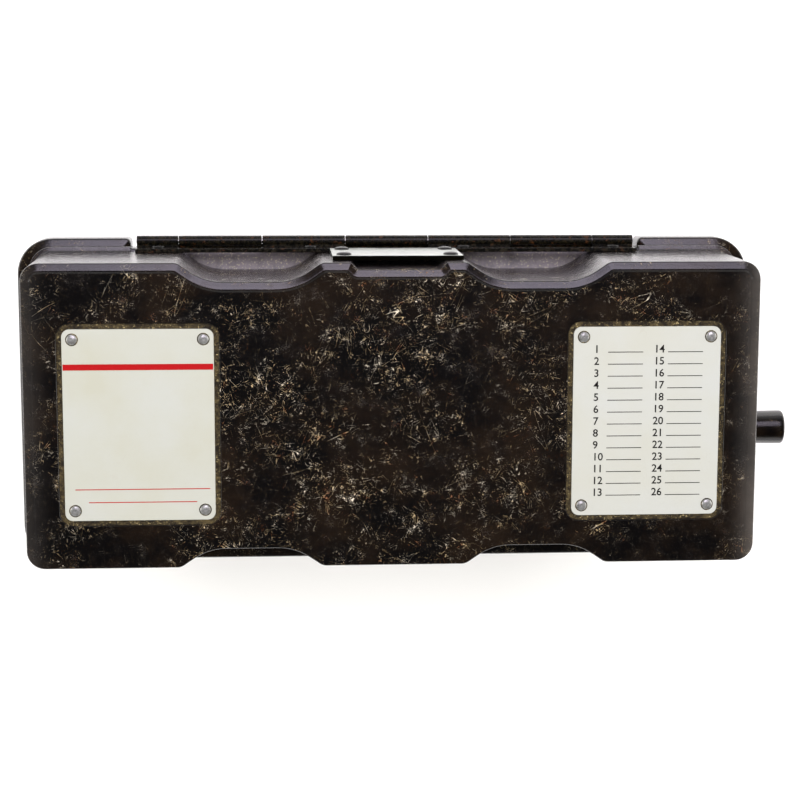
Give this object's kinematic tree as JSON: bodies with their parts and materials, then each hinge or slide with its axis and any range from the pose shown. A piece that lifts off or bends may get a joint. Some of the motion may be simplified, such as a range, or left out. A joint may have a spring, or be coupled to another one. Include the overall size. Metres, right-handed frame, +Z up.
{
  "type": "field telephone",
  "caption": "Hand-cranked field telephone in a dark moulded case, with a hinged lid carrying two white plates, and its handset stowed inside.",
  "frame": {"origin": "middle of the case's flat underside", "axes": "+Z up towards the lid, +X towards the crank, +Y towards the lid hinge"},
  "size_m": [0.3309, 0.1332, 0.205],
  "materials": {
    "bakelite": "glossy, worn",
    "plate_enamel": "satin",
    "bright_steel": "satin",
    "dark_steel": "satin, rusted",
    "brass": "satin",
    "rubber": "matte",
    "clear_glass": "polished",
    "zinc_plate": "satin",
    "red_lacquer": "glossy",
    "winding": "lacquered wire",
    "cell_jacket": "matte"
  },
  "bodies": {
    "case": {"case_body": "bakelite", "inner_panel": "bakelite", "battery_box": "bakelite", "switch_block": "bakelite", "indicator_housing": "bakelite", "terminal_block": "bakelite", "terminal_base": "bakelite", "hook_switch": "bakelite", "hinge_pin": "bright_steel", "latch_guide": "bright_steel", "door_hinge": "bright_steel", "hinge_case_leaf": "dark_steel", "magnets": "dark_steel", "indicator_bezel": "brass", "crank_bush": "brass", "gong_left": "brass", "gong_right": "brass", "panel_gland": "rubber", "cradle_ring_ear": "rubber", "cradle_ring_mouth": "rubber", "indicator_glass": "clear_glass", "generator_frame": "zinc_plate", "ringer_frame": "zinc_plate", "capacitor": "zinc_plate", "ringer_coils": "winding", "induction_coil": "winding", "battery_cell_1": "cell_jacket", "battery_cell_2": "cell_jacket"},
    "lid": {"lid_shell": "bakelite", "writing_plate": "plate_enamel", "spelling_plate": "plate_enamel", "slot_plate": "zinc_plate", "hinge_lid_leaf": "dark_steel", "latch_keeper": "bright_steel"},
    "latch": {"latch_slide": "bright_steel"},
    "crank": {"crank_shaft": "bright_steel", "crank_arm": "dark_steel", "crank_nut": "bright_steel", "grip_pin": "bright_steel", "drive_gear": "brass"},
    "grip": {"crank_grip": "bakelite"},
    "armature": {"armature": "bright_steel"},
    "handset": {"handset_body": "bakelite", "ear_cap": "bakelite", "mouth_cap": "bakelite", "receiver_capsule": "zinc_plate", "microphone_capsule": "zinc_plate", "handset_gland": "rubber"},
    "talk_key": {"talk_key": "bakelite"},
    "hook_plunger": {"hook_plunger": "brass"},
    "selector": {"selector_knob": "bakelite"},
    "test_button": {"test_button": "red_lacquer"},
    "line_terminal_1": {"line_terminal_1": "brass"},
    "line_terminal_2": {"line_terminal_2": "brass"},
    "earth_terminal": {"earth_terminal": "brass"},
    "battery_door": {"battery_door": "bakelite"},
    "indicator_flap": {"indicator_flap": "plate_enamel"},
    "clapper": {"clapper": "bright_steel"}
  },
  "joints": [
    {"name": "lid_hinge", "type": "hinge", "parent": "case", "child": "lid", "pos_m": [0, 0.06325, 0.15], "axis": [-1, 0, 0], "range_deg": [0, 180]},
    {"name": "latch_travel", "type": "slide", "parent": "case", "child": "latch", "axis": [1, 0, 0], "range_m": [0, 0.008]},
    {"name": "crank_turn", "type": "hinge", "parent": "case", "child": "crank", "pos_m": [0.14, 0.01975, 0.081], "axis": [1, 0, 0], "continuous": true},
    {"name": "grip_spin", "type": "hinge", "parent": "crank", "child": "grip", "pos_m": [0.16, -0.02625, 0.081], "axis": [1, 0, 0], "continuous": true},
    {"name": "armature_spin", "type": "hinge", "parent": "case", "child": "armature", "pos_m": [0.08, -0.01025, 0.081], "axis": [1, 0, 0], "continuous": true},
    {"name": "handset_lift", "type": "slide", "parent": "case", "child": "handset", "axis": [0, 0, 1], "range_m": [0, 0.01]},
    {"name": "talk_key_press", "type": "slide", "parent": "handset", "child": "talk_key", "axis": [0, 0, 1], "range_m": [0, 0.0025], "stiffness_N_per_m": 400, "springref_m": -0.002},
    {"name": "hook_plunger_rise", "type": "slide", "parent": "case", "child": "hook_plunger", "axis": [0, 0, 1], "range_m": [0, 0.005]},
    {"name": "selector_turn", "type": "hinge", "parent": "case", "child": "selector", "pos_m": [-0.034, -0.031, 0.131], "axis": [0, 0, 1], "range_deg": [0, 90]},
    {"name": "test_button_press", "type": "slide", "parent": "case", "child": "test_button", "axis": [0, 0, -1], "range_m": [0, 0.003], "stiffness_N_per_m": 400, "springref_m": -0.002},
    {"name": "line_terminal_1_press", "type": "slide", "parent": "case", "child": "line_terminal_1", "axis": [0, 0, -1], "range_m": [0, 0.004], "stiffness_N_per_m": 400, "springref_m": -0.002},
    {"name": "line_terminal_2_press", "type": "slide", "parent": "case", "child": "line_terminal_2", "axis": [0, 0, -1], "range_m": [0, 0.004], "stiffness_N_per_m": 400, "springref_m": -0.002},
    {"name": "earth_terminal_press", "type": "slide", "parent": "case", "child": "earth_terminal", "axis": [0, 0, -1], "range_m": [0, 0.004], "stiffness_N_per_m": 400, "springref_m": -0.002},
    {"name": "battery_door_hinge", "type": "hinge", "parent": "case", "child": "battery_door", "pos_m": [-0.088, -0.0165, 0.1327], "axis": [-1, 0, 0], "range_deg": [0, 90]},
    {"name": "indicator_drop", "type": "hinge", "parent": "case", "child": "indicator_flap", "pos_m": [0.022, -0.024, 0.1239], "axis": [1, 0, 0], "range_deg": [0, 50]},
    {"name": "clapper_swing", "type": "hinge", "parent": "case", "child": "clapper", "pos_m": [-0.03, 0.02, 0.1029], "axis": [0, 1, 0], "range_deg": [-3, 3]}
  ],
  "couplings": [
    {"joint": "armature_spin", "follows": "crank_turn", "ratio": -4},
    {"joint": "hook_plunger_rise", "follows": "handset_lift", "ratio": 0.5}
  ]
}
